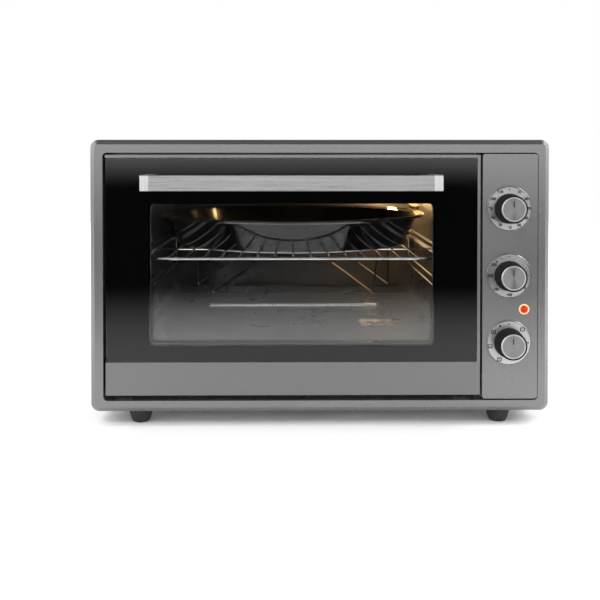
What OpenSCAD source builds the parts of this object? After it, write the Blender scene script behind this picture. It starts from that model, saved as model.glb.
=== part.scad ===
// Countertop toaster oven with a drop-down glass door, three rotary controls,
// a wire rack and a round pan. Millimetres, +Z up, the front faces -Y.
// The origin is under the middle of the whole oven, on the surface it stands on.

/* [Body] */
// Width of the body
body_w = 550; // [540:1:560]
// Height of the body above its feet
body_h = 326; // [322:1:334]
// Depth of the body from the bezel's face to the rear panel
body_d = 440; // [430:1:450]
// Height of the feet
foot_h = 17; // [12:0.5:18]
// Thickness of the sheet steel
sheet = 0.8; // [0.7:0.1:1]

/* [Front frame] */
// Width of the bezel on the left of the door
bezel_left = 15.5; // [14:0.5:17]
// Width of the bezel on the right of the controls
bezel_right = 14; // [13:0.5:15]
// Height of the bezel above the door
bezel_top = 15.5; // [15:0.1:18]
// Height of the bezel below the door
bezel_bottom = 13.6; // [12:0.1:15]
// Depth of the bezel from front to back
bezel_d = 20; // [19:0.5:20]
// Flat chamfer around the bezel's outer edge
bezel_chamfer = 5.6; // [3:0.1:7]

/* [Door] */
// Width of the door
door_w = 449; // [446:1:452]
// Height of the steel strip under the glass
strip_h = 39.6; // [36:0.2:44]
// Width of the clear window
window_w = 343.5; // [330:0.5:360]
// Height of the clear window
window_h = 171.2; // [150:0.1:175]

/* [Handle] */
// Length of the handle
handle_l = 347; // [320:1:380]
// Height of the flat handle bar
handle_h = 18.4; // [16:0.1:24]
// Distance from the bezel's face to the handle's face
handle_out = 42; // [38:1:44]

/* [Controls] */
// Diameter of the dial plates
dial_d = 54.5; // [48:0.5:58]
// Diameter of a knob at its base
knob_d = 36; // [30:1:40]
// Depth of a knob
knob_l = 20; // [16:1:24]
// Distance between knob centres
knob_step = 80.5; // [74:0.5:84]

/* [Cavity] */
// Inner width of the cavity
cav_w = 404; // [398:1:404]
// Inner height of the cavity
cav_h = 219; // [216:1:221]
// Radius of the cavity's corners
cav_r = 14; // [8:1:20]

/* [Rack and pan] */
// Number of long wires in the rack
rack_wires = 15; // [11:2:19]
// Outer diameter of the pan's rim
pan_d = 380; // [340:2:380]
// Height of the pan
pan_h = 43; // [30:1:50]

/* [Hidden] */
$fn = 48;

// Body planes
spacer_d = 8;
front_y = -(handle_out + body_d + spacer_d) / 2 + handle_out;
rear_y = front_y + body_d;
half_w = body_w / 2;
base_z = foot_h;
top_z = foot_h + body_h;
bezel_y = front_y + bezel_d;
bezel_r = 10;
shell_half = half_w - 1;
shell_top = top_z - 1;
shell_r = 9;
base_t = 1;
floor_z = base_z + base_t;

// Feet, screws and cord gland
foot_r = 15.5;
foot_tip_r = 10.5;
foot_lip_r = 11.6;
foot_lip_h = 2;
foot_bore_r = 4;
foot_x = half_w - 56.5;
foot_y0 = bezel_y + 3.5;
foot_y1 = rear_y - 30;
screw_r = 2;
gland_x = 232;
gland_z = base_z + 36;
gland_r = 8;
cord_r = 3.6;

// Opening in the bezel, door and control panel
open_x0 = -half_w + bezel_left;
open_x1 = half_w - bezel_right;
open_z0 = base_z + bezel_bottom;
open_z1 = top_z - bezel_top;
door_x0 = open_x0 + 2.5;
door_x1 = door_x0 + door_w;
door_x = (door_x0 + door_x1) / 2;
door_z0 = open_z0 + 6;
door_z1 = open_z1 - 2.6;
door_y0 = front_y + 2;
door_y1 = front_y + 23.8;
glass_t = 4;
glass_x0 = door_x0 + 0.6;
glass_x1 = door_x1 - 3.5;
glass_z0 = door_z0 + strip_h;
glass_z1 = door_z1 - 3.3;
win_x0 = glass_x0 + 50.7;
win_x1 = win_x0 + window_w;
win_z0 = glass_z0 + 19.1;
win_z1 = win_z0 + window_h;
win_r = 6;
panel_x0 = door_x1 + 2.3;
panel_x1 = open_x1 - 0.7;
panel_z0 = open_z0 + 1.8;
panel_z1 = open_z1 - 1.5;
panel_t = 3;

// Door inside
frame_x0 = door_x0 + 2;
frame_x1 = glass_x1;
frame_z0 = glass_z0 - 10.7;
inner_t = 3.2;
inner_y1 = door_y1 - sheet;
inner_lap = 8;
strip_y1 = front_y + 17;
strip_t = 1.5;

// Hinge line at the foot of the door
hinge_y = front_y + 11;
hinge_z = door_z0 + 6.9;
pin_r = 3;
run_gap = 0.05;
pin_in = 5;
pin_l = 40;
lug_r = 6;
lug_t = 4.5;
tab_x = 15;
tab_t = 3;
coil_r = 4.5;
wire_d = 1.6;

// Controls
knob_x = 226;
timer_z = base_z + 243.8;
thermo_z = timer_z - knob_step;
function_z = thermo_z - knob_step;
knob_z = [timer_z, thermo_z, function_z];
lamp_x = knob_x + 18.2;
lamp_z = function_z + 0.5 * knob_step;
ring_r = 6.25;
barrel_r = 5.2;
lens_r = 4.6;
dial_t = 1.5;
knob_y = front_y - dial_t - 0.5;
shaft_r = 3;
cap_d = knob_d - 7;
bush_r = 4.8;
switch_y = front_y + 7;
switch_d = 28;

// Cavity
cav_x0 = door_x - cav_w / 2;
cav_x1 = door_x + cav_w / 2;
cav_z0 = base_z + 75.5;
cav_z1 = cav_z0 + cav_h;
flange_y = front_y + 26;
liner_y = flange_y + sheet;
liner_y1 = liner_y + 389;
wool_t = 12;
shield_x = door_x1 - 1.5;
light_y = 150;
light_z = base_z + 238.5;
light_r = 18;
element_r = 3.25;
element_z = cav_z1 - 12;
lower_z = cav_z0 - 12;
element_step = 100;
element_ends = [door_x - 1.5 * element_step, door_x + 1.5 * element_step];

// Rack, guides and pan
rack_y0 = front_y + 35;
rack_y1 = liner_y1 - 8;
rack_r = 1.7;
rack_z = base_z + 181.5;
rack_half = 189;
rack_bar = 171.5;
grid_r = 1.3;
grid_z = rack_z + rack_r - grid_r + 0.2;
guide_r = 1.75;
guide_x = cav_w / 2 - 11.5;
pan_y = front_y + 225;
pan_t = 1.2;
pan_base = pan_d / 2 - 24;
pan_z = grid_z + grid_r;

// Handle
handle_t = 9;
handle_x0 = door_x - 1.6 - handle_l / 2;
handle_y = front_y - handle_out;
handle_z = glass_z1 - 38.3;
post_w = 10;
post_ends = [handle_x0, handle_x0 + handle_l - post_w];
grip_z = handle_z + handle_h / 2;

// A flat outline, drawn in X and Z, made solid from y0 to y1
module slab_y(y0, y1) {
    translate([0, y1, 0])
        rotate([90, 0, 0])
            linear_extrude(y1 - y0)
                children();
}

// A flat outline, drawn in Y and Z, made solid from x0 to x1
module slab_x(x0, x1) {
    translate([x0, 0, 0])
        rotate([90, 0, 90])
            linear_extrude(x1 - x0)
                children();
}

// A round bar along Y
module rod_y(x, z, y0, y1, r) {
    translate([x, y1, z])
        rotate([90, 0, 0])
            cylinder(r = r, h = y1 - y0);
}

// A round bar along X
module rod_x(y, z, x0, x1, r) {
    translate([x0, y, z])
        rotate([0, 90, 0])
            cylinder(r = r, h = x1 - x0);
}

module rect(x0, x1, z0, z1) {
    translate([x0, z0])
        square([x1 - x0, z1 - z0]);
}

// A rectangle with round corners
module round_rect(x0, x1, z0, z1, r) {
    rect(x0 + r, x1 - r, z0, z1);
    rect(x0, x1, z0 + r, z1 - r);
    for (x = [x0 + r, x1 - r], z = [z0 + r, z1 - r])
        translate([x, z])
            circle(r);
}

// A straight twelve-sided piece of wire between two points
module wire(p, q, r, past_p = 0, past_q = 0) {
    d = q - p;
    reach = norm(d);
    translate(p - d / reach * past_p)
        rotate([0, acos(d[2] / reach), atan2(d[1], d[0])])
            cylinder(r = r, h = reach + past_p + past_q, $fn = 12);
}

// Wire bent through a list of points, closed at its elbows by a short overlap
module bent_wire(points, r) {
    last = len(points) - 2;
    for (i = [0 : last])
        wire(points[i], points[i + 1], r, i == 0 ? 0 : r / 2, i == last ? 0 : r / 2);
}

// A half ring of tube in a level plane, opening towards +Y or -Y
module tube_bend(x, y, z, bend_r, r, turn) {
    translate([x, y, z])
        rotate([0, 0, turn])
            rotate_extrude(angle = 180)
                translate([bend_r, 0])
                    circle(r);
}

// The same piece on both sides of the door's middle plane
module both_sides() {
    children();
    translate([2 * door_x, 0, 0])
        mirror([1, 0, 0])
            children();
}

// ---------- Casing ----------

// A row of upright vent slots, drawn flat
module vent_row(x, z, count, step, slot_w, slot_h) {
    for (i = [0 : count - 1])
        round_rect(x + i * step, x + i * step + slot_w, z, z + slot_h, slot_w / 2 - 0.01);
}

module shell_outline(inset) {
    half = shell_half - inset;
    r = shell_r - inset;
    rect(-half, half, floor_z, shell_top - inset - r);
    rect(-half + r, half - r, floor_z, shell_top - inset);
    for (x = [-half + r, half - r])
        translate([x, shell_top - inset - r])
            circle(r);
}

module outer_shell() {
    vent_y = rear_y - 150;
    color("dimgray")
        difference() {
            slab_y(bezel_y, rear_y - sheet)
                shell_outline(0);
            slab_y(bezel_y - 1, rear_y)
                difference() {
                    shell_outline(sheet);
                    rect(-half_w, half_w, 0, floor_z + 0.001);
                }
            slab_y(bezel_y - 1, rear_y)
                rect(-shell_half + sheet, shell_half - sheet, floor_z - 1, floor_z + 2);
            slab_x(-half_w, -shell_half + 5)
                vent_row(vent_y, floor_z + 30, 12, 9, 3.5, 32);
            slab_x(shell_half - 5, half_w)
                for (z = [floor_z + 30, floor_z + 90])
                    vent_row(vent_y, z, 12, 9, 3.5, 32);
        }
}

module base_plate() {
    slot_l = 40;
    slot_w = 4;
    color("silver")
        difference() {
            translate([-shell_half, bezel_y, base_z])
                cube([2 * shell_half, rear_y - sheet - bezel_y, base_t]);
            for (x = [-200 : 100 : 200], y = [-90 : 45 : 90])
                translate([x - slot_l / 2, y, base_z - 1])
                    cube([slot_l, slot_w, base_t + 2]);
            for (x = [-foot_x, foot_x], y = [foot_y0, foot_y1])
                translate([x, y, base_z - 1])
                    cylinder(r = screw_r, h = base_t + 2);
        }
}

module rear_panel() {
    cavity_vent_x = -180;
    bay_vent_x = 190;
    color("dimgray")
        difference() {
            slab_y(rear_y - sheet, rear_y)
                difference() {
                    round_rect(-shell_half, shell_half, base_z, shell_top, shell_r);
                    for (z = [top_z - 60, top_z - 90])
                        vent_row(cavity_vent_x, z, 14, 10, 4, 20);
                    for (z = [top_z - 60, top_z - 90, base_z + 90, base_z + 120])
                        vent_row(bay_vent_x, z, 7, 10, 4, 20);
                }
            rod_y(gland_x, gland_z, rear_y - 5, rear_y + 5, gland_r);
        }
}

// Front face of the bezel, with a flat chamfer all round
module bezel_block() {
    c = bezel_chamfer;
    y1 = front_y + c;
    slab_y(y1, bezel_y)
        round_rect(-half_w, half_w, base_z, top_z, bezel_r);
    slab_x(-half_w + bezel_r, half_w - bezel_r)
        polygon([[y1, base_z], [front_y, base_z + c], [front_y, top_z - c], [y1, top_z]]);
    translate([0, 0, base_z + bezel_r])
        linear_extrude(body_h - 2 * bezel_r)
            polygon([[-half_w, y1], [-half_w + c, front_y], [half_w - c, front_y], [half_w, y1]]);
    for (x = [-half_w + bezel_r, half_w - bezel_r], z = [base_z + bezel_r, top_z - bezel_r])
        translate([x, y1, z])
            rotate([90, 0, 0])
                cylinder(r1 = bezel_r, r2 = bezel_r - c, h = c);
}

module front_bezel() {
    wall = 2;
    color("gray")
        difference() {
            bezel_block();
            slab_y(front_y - 1, bezel_y + 1)
                round_rect(open_x0, open_x1, open_z0, open_z1, 5);
            slab_y(front_y + 2 * wall, bezel_y + 1)
                difference() {
                    round_rect(-half_w + wall, half_w - wall, base_z + wall, top_z - wall, bezel_r - wall);
                    round_rect(open_x0 - wall, open_x1 + wall, open_z0 - wall, open_z1 + wall, 7);
                }
        }
}

module control_panel() {
    lip = 1.5;
    color("gray")
        difference() {
            slab_y(front_y, front_y + 18)
                round_rect(panel_x0, panel_x1, panel_z0, panel_z1, 3.5);
            slab_y(front_y + panel_t, front_y + 19)
                round_rect(panel_x0 + lip, panel_x1 - lip, panel_z0 + lip, panel_z1 - lip, 2);
            for (z = knob_z)
                rod_y(knob_x, z, front_y - 1, front_y + panel_t + 1, bush_r);
            rod_y(lamp_x, lamp_z, front_y - 1, front_y + panel_t + 1, barrel_r);
        }
}

// One rubber foot, wide at the top, with a washer seat inside
module foot(x, y) {
    color([0.09, 0.09, 0.09])
        translate([x, y, 0])
            difference() {
                union() {
                    cylinder(r1 = foot_tip_r, r2 = foot_lip_r, h = foot_lip_h);
                    translate([0, 0, foot_lip_h])
                        cylinder(r1 = foot_lip_r, r2 = foot_r, h = foot_h - foot_lip_h);
                }
                translate([0, 0, -1])
                    cylinder(r = foot_bore_r, h = foot_h - 3);
                translate([0, 0, -1])
                    cylinder(r = screw_r, h = foot_h + 2);
            }
}

module foot_front_left() {
    foot(-foot_x, foot_y0);
}

module foot_front_right() {
    foot(foot_x, foot_y0);
}

module foot_rear_left() {
    foot(-foot_x, foot_y1);
}

module foot_rear_right() {
    foot(foot_x, foot_y1);
}

module foot_screws() {
    head_r = foot_bore_r - 0.4;
    head_h = 2.5;
    head_z = foot_h - 6.5;
    screw_l = 12;
    color("silver")
        for (x = [-foot_x, foot_x], y = [foot_y0, foot_y1])
            translate([x, y, head_z]) {
                cylinder(r = screw_r, h = screw_l);
                cylinder(r = head_r, h = head_h);
            }
}

// Pan-head screw pointing towards -Y, with its head behind the rear panel
module panel_screw(x, z) {
    head_h = 2;
    slot_w = 1;
    slot_l = 4;
    slot_h = 1.8;
    translate([x, rear_y, z])
        rotate([90, 0, 0])
            translate([0, 0, -head_h])
                difference() {
                    cylinder(r1 = 2.4, r2 = 3.6, h = head_h);
                    translate([-slot_w / 2, -slot_l / 2, -1])
                        cube([slot_w, slot_l, slot_h]);
                    translate([-slot_l / 2, -slot_w / 2, -1])
                        cube([slot_l, slot_w, slot_h]);
                }
}

module panel_screws() {
    edge = 10;
    x1 = shell_half - edge;
    color("silver")
        for (x = [-x1, -x1 / 2, 0, x1 / 2, x1], z = [base_z + edge, shell_top - edge])
            panel_screw(x, z);
}

module rear_spacers() {
    mid_x = 120;
    mid_z = base_z + 231.5;
    half_l = 20;
    half_h = 10;
    wall = 4;
    color([0.1, 0.1, 0.1])
        for (x = [-mid_x, mid_x])
            slab_y(rear_y, rear_y + spacer_d)
                difference() {
                    round_rect(x - half_l, x + half_l, mid_z - half_h, mid_z + half_h, wall);
                    round_rect(x - half_l + wall, x + half_l - wall,
                               mid_z - half_h + wall, mid_z + half_h - wall, wall / 2);
                }
}

module cable_gland() {
    color([0.1, 0.1, 0.1])
        difference() {
            union() {
                rod_y(gland_x, gland_z, rear_y - 12, rear_y, gland_r);
                rod_y(gland_x, gland_z, rear_y, rear_y + 3, gland_r + 3);
                rod_y(gland_x, gland_z, rear_y + 3, rear_y + spacer_d, gland_r - 1);
            }
            rod_y(gland_x, gland_z, rear_y - 13, rear_y + spacer_d + 1, cord_r);
        }
}

// ---------- Cavity ----------

module front_flange() {
    color("slategray")
        difference() {
            slab_y(flange_y, liner_y)
                rect(-shell_half + 1.5, shield_x, floor_z + 0.3, shell_top - 8.5);
            slab_y(flange_y - 1, liner_y + 1)
                round_rect(cav_x0, cav_x1, cav_z0, cav_z1, cav_r);
        }
}

// Cavity walls, with a stiffening bead across the floor
module cavity_liner() {
    bead_y = liner_y + 267;
    bead_r = 3;
    bead_half = 130;
    color("slategray") {
        difference() {
            slab_y(liner_y, liner_y1)
                round_rect(cav_x0 - sheet, cav_x1 + sheet, cav_z0 - sheet, cav_z1 + sheet, cav_r + sheet);
            slab_y(liner_y - 1, liner_y1 + 1)
                round_rect(cav_x0, cav_x1, cav_z0, cav_z1, cav_r);
            rod_x(light_y, light_z, cav_x1 - 1, cav_x1 + 2, light_r);
        }
        rod_x(bead_y, cav_z0 - 0.5, door_x - bead_half, door_x + bead_half, bead_r);
    }
}

module cavity_back() {
    lip = 6;
    color("slategray")
        difference() {
            slab_y(liner_y1, liner_y1 + sheet)
                round_rect(cav_x0 - lip, cav_x1 + lip, cav_z0 - lip, cav_z1 + lip, cav_r + lip);
            for (x = element_ends)
                rod_y(x, element_z, liner_y1 - 1, liner_y1 + 2, element_r + run_gap);
        }
}

module insulation_blanket() {
    g = sheet + 0.5;
    t = g + wool_t;
    color("khaki")
        difference() {
            slab_y(liner_y + 6, liner_y1 - 1)
                difference() {
                    round_rect(cav_x0 - t, cav_x1 + t, cav_z0, cav_z1 + t, cav_r + t);
                    round_rect(cav_x0 - g, cav_x1 + g, cav_z0 - g, cav_z1 + g, cav_r + g);
                    rect(cav_x0 - t, cav_x1 + t, cav_z0 - g, cav_z0 + cav_r + g);
                }
            rod_x(light_y, light_z, cav_x1, cav_x1 + 2 * wool_t, light_r + 6);
        }
}

// Two pairs of rails in one bent-wire ladder on the cavity's left wall
module rack_guide() {
    rail_x = door_x - guide_x;
    upright_x = rail_x - 1.8 * guide_r;
    y0 = flange_y + 18;
    y1 = liner_y1 - 14;
    low_z = rack_z - rack_r - 0.2 - guide_r;
    high_z = rack_z + rack_r + 4.8 + guide_r;
    color("silver") {
        for (z = [low_z, high_z], drop = [0, 45])
            bent_wire([[cav_x0, y0, z - drop], [rail_x, y0, z - drop],
                       [rail_x, y1, z - drop], [cav_x0, y1, z - drop]], guide_r);
        for (y = [y0 + 14, y1 - 14])
            wire([upright_x, y, low_z - 51], [upright_x, y, high_z + 6], guide_r);
    }
}

module rack_guide_left() {
    rack_guide();
}

module rack_guide_right() {
    translate([2 * door_x, 0, 0])
        mirror([1, 0, 0])
            rack_guide();
}

// Tube heater bent three times in a level plane, with its ends at the back
module heating_element(z) {
    bend = element_step / 2;
    y0 = flange_y + 36 + bend;
    y1 = liner_y1 - 30 - bend;
    color([0.18, 0.17, 0.16]) {
        for (i = [0 : 3]) {
            x = element_ends[0] + i * element_step;
            ends = i == 0 || i == 3;
            rod_y(x, z, y0, ends ? liner_y1 + 16 : y1, element_r);
        }
        for (i = [0, 2])
            tube_bend(element_ends[0] + (i + 0.5) * element_step, y0, z, bend, element_r, 180);
        tube_bend(door_x, y1, z, bend, element_r, 0);
    }
}

module upper_element() {
    heating_element(element_z);
}

module lower_element() {
    heating_element(lower_z);
}

module element_bushes() {
    color("linen")
        for (x = element_ends, z = [element_z, lower_z])
            difference() {
                union() {
                    rod_y(x, z, liner_y1 + sheet, liner_y1 + 3, 8);
                    rod_y(x, z, liner_y1 + 3, liner_y1 + 9, 5.5);
                }
                rod_y(x, z, liner_y1, liner_y1 + 10, element_r);
            }
}

module lamp_holder() {
    color("linen")
        difference() {
            union() {
                rod_x(light_y, light_z, cav_x1 + sheet, cav_x1 + 4, light_r + 4);
                rod_x(light_y, light_z, cav_x1 + 4, cav_x1 + 18, 13);
            }
            rod_x(light_y, light_z, cav_x1, cav_x1 + 15, 9);
        }
}

module lamp_bulb() {
    color("lightyellow") {
        rod_x(light_y, light_z, cav_x1 + 1, cav_x1 + 15, 7);
        rod_x(light_y, light_z, cav_x1 - 4, cav_x1 + 1, 8.5);
        translate([cav_x1 - 4, light_y, light_z])
            sphere(8.5);
    }
}

module lamp_lens() {
    wall = 2;
    x0 = cav_x1 - 2;
    color("lightyellow")
        difference() {
            union() {
                rod_x(light_y, light_z, x0, cav_x1, light_r + 4);
                rod_x(light_y, light_z, x0 - 6, x0, light_r - 1);
                translate([x0 - 6, light_y, light_z])
                    intersection() {
                        sphere(light_r - 1);
                        translate([-9, -light_r, -light_r])
                            cube([9, 2 * light_r, 2 * light_r]);
                    }
            }
            rod_x(light_y, light_z, x0 - 7, cav_x1 + 1, light_r - 1 - wall);
            translate([x0 - 6, light_y, light_z])
                intersection() {
                    sphere(light_r - 1 - wall);
                    translate([wall - 9, -light_r, -light_r])
                        cube([9, 2 * light_r, 2 * light_r]);
                }
        }
}

module control_bay_shield() {
    color("silver")
        translate([shield_x, flange_y, floor_z])
            cube([sheet, rear_y - sheet - flange_y, shell_top - sheet - floor_z]);
}

module door_gasket() {
    color([0.12, 0.12, 0.12])
        slab_y(door_y1 + 0.1, flange_y)
            difference() {
                round_rect(cav_x0 - 9, cav_x1 + 9, cav_z0 - 9, cav_z1 + 7, cav_r + 4);
                round_rect(cav_x0 - 3, cav_x1 + 3, cav_z0 - 3, cav_z1 + 3, cav_r + 2);
            }
}

// ---------- Electrical parts ----------

// Body of a rotary control behind the panel, with a bush through it
module rotary_body(z, w, h, d) {
    difference() {
        union() {
            slab_y(switch_y, switch_y + d)
                round_rect(knob_x - w / 2, knob_x + w / 2, z - h / 2, z + h / 2, 3);
            rod_y(knob_x, z, front_y, switch_y, bush_r);
            for (x = [-8, 8])
                translate([knob_x + x - 3, switch_y + d, z - 5])
                    cube([6, 8, 1]);
        }
        rod_y(knob_x, z, front_y - 1, switch_y + 10, shaft_r + run_gap);
    }
}

module selector_switch() {
    color("darkkhaki")
        rotary_body(function_z, 38, 34, switch_d);
}

module thermostat() {
    color("silver")
        rotary_body(thermo_z, 42, 36, switch_d - 6);
}

module timer() {
    color("lightgray")
        rotary_body(timer_z, 44, 40, switch_d + 10);
}

module terminal_block() {
    color("white")
        difference() {
            translate([gland_x - 18, rear_y - 60, floor_z])
                cube([36, 22, 16]);
            for (x = [-12 : 12 : 12])
                translate([gland_x + x, rear_y - 49, floor_z + 6])
                    cylinder(r = 3, h = 12);
        }
}

module indicator_holder() {
    color("moccasin")
        difference() {
            union() {
                rod_y(lamp_x, lamp_z, front_y - 1.6, front_y, ring_r);
                rod_y(lamp_x, lamp_z, front_y, front_y + 18, barrel_r);
            }
            rod_y(lamp_x, lamp_z, front_y - 2, front_y + 10, lens_r);
        }
}

module indicator_lens() {
    color("orangered") {
        rod_y(lamp_x, lamp_z, front_y - 1.6, front_y + 10, lens_r);
        translate([lamp_x, front_y - 1.6, lamp_z])
            rotate([90, 0, 0])
                cylinder(r1 = lens_r, r2 = 1.4, h = 2);
    }
}

module dial_plates() {
    color("lightgray")
        for (z = knob_z)
            difference() {
                rod_y(knob_x, z, front_y - dial_t, front_y, dial_d / 2);
                rod_y(knob_x, z, front_y - dial_t - 1, front_y + 1, bush_r);
            }
}

// ---------- Knobs ----------

module knob_body(z) {
    lip = 1.5;
    color([0.2, 0.2, 0.21])
        difference() {
            translate([knob_x, knob_y, z])
                rotate([90, 0, 0])
                    cylinder(r1 = knob_d / 2, r2 = knob_d / 2 - 1.5, h = knob_l);
            rod_y(knob_x, z, knob_y - knob_l - 1, knob_y - knob_l + lip, cap_d / 2);
            rod_y(knob_x, z, knob_y - knob_l + 4, knob_y + 1, shaft_r);
            difference() {
                rod_y(knob_x, z, knob_y - knob_l + 5, knob_y + 1, knob_d / 2 - 3.5);
                rod_y(knob_x, z, knob_y - knob_l + 4, knob_y + 2, shaft_r + 3);
            }
        }
}

module knob_cap(z) {
    lip = 1.5;
    color("darkgray") {
        rod_y(knob_x, z, knob_y - knob_l, knob_y - knob_l + lip, cap_d / 2);
        difference() {
            rod_y(knob_x, z, knob_y - knob_l - 0.6, knob_y - knob_l, cap_d / 2);
            rod_y(knob_x, z, knob_y - knob_l - 1, knob_y - knob_l, cap_d / 2 - 1.8);
        }
    }
}

module knob_shaft(z) {
    color("silver")
        rod_y(knob_x, z, knob_y - knob_l + 4, switch_y + 8, shaft_r);
}

module function_knob() {
    knob_body(function_z);
}

module function_knob_cap() {
    knob_cap(function_z);
}

module function_shaft() {
    knob_shaft(function_z);
}

module temperature_knob() {
    knob_body(thermo_z);
}

module temperature_knob_cap() {
    knob_cap(thermo_z);
}

module temperature_shaft() {
    knob_shaft(thermo_z);
}

module timer_knob() {
    knob_body(timer_z);
}

module timer_knob_cap() {
    knob_cap(timer_z);
}

module timer_shaft() {
    knob_shaft(timer_z);
}

// ---------- Door ----------

module door_frame() {
    back_y = inner_y1;
    color("slategray") {
        difference() {
            slab_y(back_y, door_y1)
                round_rect(frame_x0, frame_x1, frame_z0, glass_z1, 4);
            slab_y(back_y - 1, door_y1 + 1)
                round_rect(win_x0, win_x1, win_z0, win_z1, win_r);
        }
        difference() {
            slab_y(door_y0 + glass_t, back_y)
                round_rect(frame_x0, frame_x1, glass_z0, glass_z1, 4);
            slab_y(door_y0 + glass_t - 1, back_y + 1)
                round_rect(frame_x0 + sheet, frame_x1 - sheet, glass_z0 + sheet, glass_z1 - sheet, 3);
        }
    }
}

module door_glass_outer() {
    color([0.1, 0.1, 0.12, 0.6])
        difference() {
            slab_y(door_y0, door_y0 + glass_t)
                round_rect(glass_x0, glass_x1, glass_z0, glass_z1, 1.5);
            for (x = post_ends)
                rod_y(x + post_w / 2, grip_z, door_y0 - 1, door_y0 + glass_t + 1, screw_r + 1);
        }
}

module door_glass_inner() {
    lap = inner_lap + 4;
    color([0.5, 0.55, 0.55, 0.4])
        slab_y(inner_y1 - inner_t, inner_y1)
            round_rect(win_x0 - lap, win_x1 + lap, win_z0 - lap, win_z1 + lap, 5);
}

// Black frame that holds the two panes apart around the window
module window_spacer() {
    clear = 5;
    color([0.08, 0.08, 0.08])
        slab_y(door_y0 + glass_t, inner_y1 - inner_t)
            difference() {
                round_rect(win_x0 - inner_lap, win_x1 + inner_lap,
                           win_z0 - inner_lap, win_z1 + inner_lap, win_r + inner_lap);
                round_rect(win_x0 - clear, win_x1 + clear, win_z0 - clear, win_z1 + clear, win_r + clear);
            }
}

module door_top_trim() {
    color("gray")
        slab_y(door_y0, door_y0 + 12)
            rect(door_x0, door_x1, glass_z1, door_z1);
}

module door_side_trim() {
    color("gray")
        slab_y(door_y0, door_y0 + 12)
            rect(glass_x1, door_x1, glass_z0, glass_z1);
}

// Ear of the bottom strip with a bore for the hinge pin
module hinge_ear(x) {
    difference() {
        union() {
            rod_x(hinge_y, hinge_z, x, x + lug_t, lug_r);
            translate([x, door_y0, hinge_z - lug_r + 0.4])
                cube([lug_t, hinge_y - door_y0, 2 * lug_r - 0.4]);
        }
        rod_x(hinge_y, hinge_z, x - 1, x + lug_t + 1, pin_r + run_gap);
    }
}

module door_bottom_strip() {
    notch_x0 = door_x0 + pin_in + lug_t + 1;
    notch_x1 = door_x0 + pin_in + pin_l - lug_t;
    color("gray") {
        difference() {
            slab_y(door_y0, strip_y1)
                rect(door_x0, door_x1, door_z0, glass_z0);
            slab_y(door_y0 + strip_t, strip_y1 + 1)
                rect(door_x0 + strip_t, door_x1 - strip_t, door_z0 + sheet, glass_z0 - sheet);
            both_sides()
                translate([notch_x0, door_y0 + strip_t, door_z0 - 1])
                    cube([notch_x1 - notch_x0, strip_y1 - door_y0, sheet + 2]);
        }
        both_sides() {
            hinge_ear(door_x0 + pin_in);
            hinge_ear(notch_x1);
        }
    }
}

module hinge_bracket() {
    x = door_x0 + tab_x;
    color("silver") {
        difference() {
            union() {
                rod_x(hinge_y, hinge_z, x, x + tab_t, 5.4);
                translate([x, hinge_y, hinge_z - 5.4])
                    cube([tab_t, flange_y - hinge_y, 10.8]);
            }
            rod_x(hinge_y, hinge_z, x - 1, x + tab_t + 1, pin_r);
        }
        slab_y(flange_y - 1.2, flange_y)
            rect(x - 8, x + 12, hinge_z - 9, hinge_z + 10);
    }
}

module hinge_bracket_left() {
    hinge_bracket();
}

module hinge_bracket_right() {
    translate([2 * door_x, 0, 0])
        mirror([1, 0, 0])
            hinge_bracket();
}

module hinge_pins() {
    color("silver")
        both_sides()
            rod_x(hinge_y, hinge_z, door_x0 + pin_in, door_x0 + pin_in + pin_l, pin_r);
}

// Closed wire coil around the hinge line, from x0 to x1
module wire_coil(x0, x1, turns) {
    sides = 6;
    steps = turns * 12;
    points = [
        for (i = [0 : steps], j = [0 : sides - 1])
            let (turn = 360 * turns * i / steps,
                 spoke = coil_r + wire_d / 2 * cos(360 * j / sides))
                [x0 + (x1 - x0) * i / steps + wire_d / 2 * sin(360 * j / sides),
                 hinge_y + spoke * cos(turn),
                 hinge_z + spoke * sin(turn)]
    ];
    tube = [
        for (i = [0 : steps - 1], j = [0 : sides - 1])
            let (k = (j + 1) % sides)
                [i * sides + j, i * sides + k, (i + 1) * sides + k, (i + 1) * sides + j]
    ];
    start_cap = [[for (j = [sides - 1 : -1 : 0]) j]];
    end_cap = [[for (j = [0 : sides - 1]) steps * sides + j]];
    polyhedron(points, concat(tube, start_cap, end_cap));
}

// Torsion springs that hold the door shut
module hinge_springs() {
    x0 = door_x0 + tab_x + tab_t + 2;
    x1 = door_x0 + pin_in + pin_l - lug_t - 2.5;
    color("silver")
        both_sides()
            wire_coil(x0, x1, 7);
}

// ---------- Handle ----------

module handle_bar() {
    x0 = post_ends[0] + post_w;
    x1 = post_ends[1];
    edge = 0.8;
    y0 = handle_y;
    y1 = handle_y + handle_t;
    z1 = handle_z + handle_h;
    color("lightgray")
        slab_x(x0, x1)
            polygon([[y0, handle_z + edge], [y0 + edge, handle_z], [y1, handle_z],
                     [y1, z1], [y0 + edge, z1], [y0, z1 - edge]]);
}

module handle_posts() {
    edge = 0.8;
    color("gainsboro")
        for (x = post_ends)
            difference() {
                slab_x(x, x + post_w)
                    polygon([[handle_y, handle_z + edge], [handle_y + edge, handle_z],
                             [door_y0, handle_z], [door_y0, handle_z + handle_h],
                             [handle_y + edge, handle_z + handle_h],
                             [handle_y, handle_z + handle_h - edge]]);
                rod_y(x + post_w / 2, grip_z, door_y0 - 12, door_y0 + 1, screw_r);
            }
}

module handle_screws() {
    color("silver")
        for (x = post_ends) {
            rod_y(x + post_w / 2, grip_z, door_y0 - 12, door_y0 + glass_t, screw_r);
            rod_y(x + post_w / 2, grip_z, door_y0 + glass_t, door_y0 + glass_t + 2.5, 4);
        }
}

// ---------- Rack and pan ----------

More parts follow.
